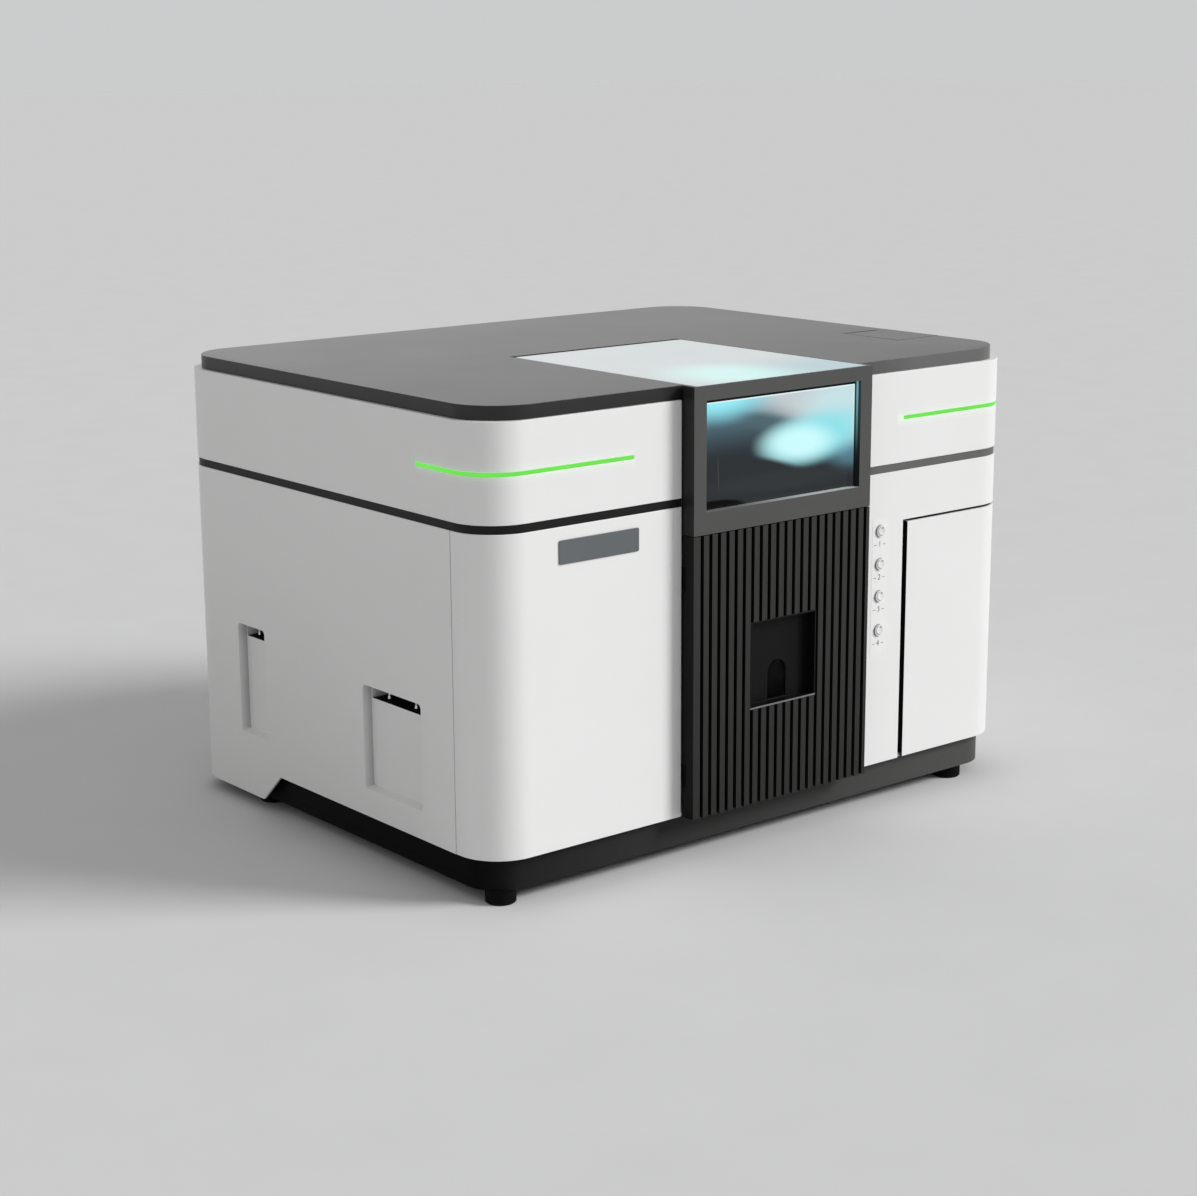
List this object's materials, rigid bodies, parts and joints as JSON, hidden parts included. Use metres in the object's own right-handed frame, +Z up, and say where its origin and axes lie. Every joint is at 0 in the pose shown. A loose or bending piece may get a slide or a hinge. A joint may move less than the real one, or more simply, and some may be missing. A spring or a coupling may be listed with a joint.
{
  "type": "atomic absorption spectrometer",
  "caption": "Benchtop atomic absorption spectrometer: white cabinet, dark top plate, a ribbed burner door and a glazed hood that lifts, lamp turret and optics inside.",
  "frame": {"origin": "middle of the footprint, on the floor plane under the feet", "axes": "+X to the instrument's right as seen from the front, +Y to its back, +Z up"},
  "size_m": [0.76, 0.624, 0.5078],
  "materials": {
    "white_shell": "satin powder coat",
    "plate_grey": "fine satin",
    "column_grey": "satin",
    "base_black": "matt",
    "foot_rubber": "matt",
    "galvanised": "plain sheet",
    "stainless": "brushed",
    "cast_aluminium": "machined",
    "ground_steel": "ground",
    "quartz": "clear",
    "tinted_glass": "tinted, polished",
    "pale_glass": "polished",
    "seam_black": "matt",
    "light_green": "lit acrylic",
    "nameplate_grey": "satin",
    "button_white": "satin",
    "board_green": "lacquered",
    "recess_grey": "satin",
    "black_plastic": "matt",
    "grey_polymer": "moulded",
    "titanium": "machined",
    "lamp_glass": "clear",
    "optics_black": "anodised",
    "mirror_glass": "polished",
    "brass": "turned",
    "dark_metal": "matt"
  },
  "bodies": {
    "cabinet": {"base_pan": "base_black", "beam_windows": "quartz", "burner_bay_liner": "stainless", "button_board": "board_green", "deck_plate": "galvanised", "detector_housing": "dark_metal", "drain_trap": "grey_polymer", "fan_frame": "black_plastic", "frame_posts": "galvanised", "front_left_panel": "white_shell", "front_right_panel": "white_shell", "gas_control_box": "galvanised", "gas_fittings": "brass", "hinge_pins": "ground_steel", "lamp_door_knuckles": "ground_steel", "left_side_panel": "white_shell", "levelling_feet": "foot_rubber", "lift_column": "ground_steel", "light_bar_left": "light_green", "light_bar_right": "light_green", "main_board": "board_green", "mains_inlet": "black_plastic", "monochromator_housing": "optics_black", "monochromator_lid": "optics_black", "monochromator_mirrors": "mirror_glass", "nameplate": "nameplate_grey", "optical_bench": "cast_aluminium", "power_supply": "galvanised", "rear_panel": "white_shell", "rear_screws": "ground_steel", "ribbed_door_knuckles": "ground_steel", "right_side_panel": "white_shell", "seam_strip": "seam_black", "top_plate": "plate_grey", "turret_motor": "dark_metal", "turret_stand": "cast_aluminium", "upper_shell": "white_shell"},
    "hood": {"hood_frame": "column_grey", "front_window": "tinted_glass", "top_window": "pale_glass"},
    "front_door": {"ribbed_door": "column_grey", "sample_recess": "recess_grey"},
    "lamp_door": {"lamp_door": "white_shell"},
    "hatch": {"top_hatch": "plate_grey"},
    "button_1": {"button_1": "button_white"},
    "button_2": {"button_2": "button_white"},
    "button_3": {"button_3": "button_white"},
    "button_4": {"button_4": "button_white"},
    "burner_lift": {"burner_carriage": "cast_aluminium", "mixing_chamber": "grey_polymer", "nebulizer": "grey_polymer"},
    "burner": {"burner_head": "titanium"},
    "turret": {"lamp_turret": "cast_aluminium", "cathode_lamps": "lamp_glass", "lamp_bases": "black_plastic"},
    "grating": {"grating_table": "optics_black"},
    "slits": {"slit_wheel": "optics_black"},
    "fan": {"fan_rotor": "black_plastic"},
    "rocker": {"power_rocker": "black_plastic"}
  },
  "joints": [
    {"name": "hood_hinge", "type": "hinge", "parent": "cabinet", "child": "hood", "pos_m": [0, -0.001, 0.504], "axis": [-1, 0, 0], "range_deg": [0, 75]},
    {"name": "front_door_hinge", "type": "hinge", "parent": "cabinet", "child": "front_door", "pos_m": [-0.124, -0.297, 0.2], "axis": [0, 0, -1], "range_deg": [0, 80]},
    {"name": "lamp_door_hinge", "type": "hinge", "parent": "cabinet", "child": "lamp_door", "pos_m": [0.3765, -0.2405, 0.186], "axis": [0, 0, 1], "range_deg": [0, 95]},
    {"name": "hatch_hinge", "type": "hinge", "parent": "cabinet", "child": "hatch", "pos_m": [0.335, -0.094, 0.5042], "axis": [-1, 0, 0], "range_deg": [0, 100]},
    {"name": "button_1_press", "type": "slide", "parent": "cabinet", "child": "button_1", "axis": [0, 1, 0], "range_m": [0, 0.002], "stiffness_N_per_m": 400},
    {"name": "button_2_press", "type": "slide", "parent": "cabinet", "child": "button_2", "axis": [0, 1, 0], "range_m": [0, 0.002], "stiffness_N_per_m": 400},
    {"name": "button_3_press", "type": "slide", "parent": "cabinet", "child": "button_3", "axis": [0, 1, 0], "range_m": [0, 0.002], "stiffness_N_per_m": 400},
    {"name": "button_4_press", "type": "slide", "parent": "cabinet", "child": "button_4", "axis": [0, 1, 0], "range_m": [0, 0.002], "stiffness_N_per_m": 400},
    {"name": "burner_height", "type": "slide", "parent": "cabinet", "child": "burner_lift", "axis": [0, 0, 1], "range_m": [0, 0.012]},
    {"name": "burner_turn", "type": "hinge", "parent": "burner_lift", "child": "burner", "pos_m": [0, -0.15, 0.36], "axis": [0, 0, 1], "range_deg": [0, 90]},
    {"name": "turret_turn", "type": "hinge", "parent": "cabinet", "child": "turret", "pos_m": [0.342, -0.15, 0.3526], "axis": [1, 0, 0], "range_deg": [-180, 180]},
    {"name": "grating_turn", "type": "hinge", "parent": "cabinet", "child": "grating", "pos_m": [-0.285, -0.07, 0.36], "axis": [0, 0, 1], "range_deg": [-35, 35]},
    {"name": "slit_wheel_turn", "type": "hinge", "parent": "cabinet", "child": "slits", "pos_m": [-0.16, -0.15, 0.3966], "axis": [1, 0, 0], "range_deg": [0, 270]},
    {"name": "fan_spin", "type": "hinge", "parent": "cabinet", "child": "fan", "pos_m": [0, 0.262, 0.312], "axis": [0, 1, 0], "continuous": true},
    {"name": "power_rocker_tip", "type": "hinge", "parent": "cabinet", "child": "rocker", "pos_m": [0.2578, 0.285, 0.16], "axis": [1, 0, 0], "range_deg": [0, 24]}
  ]
}
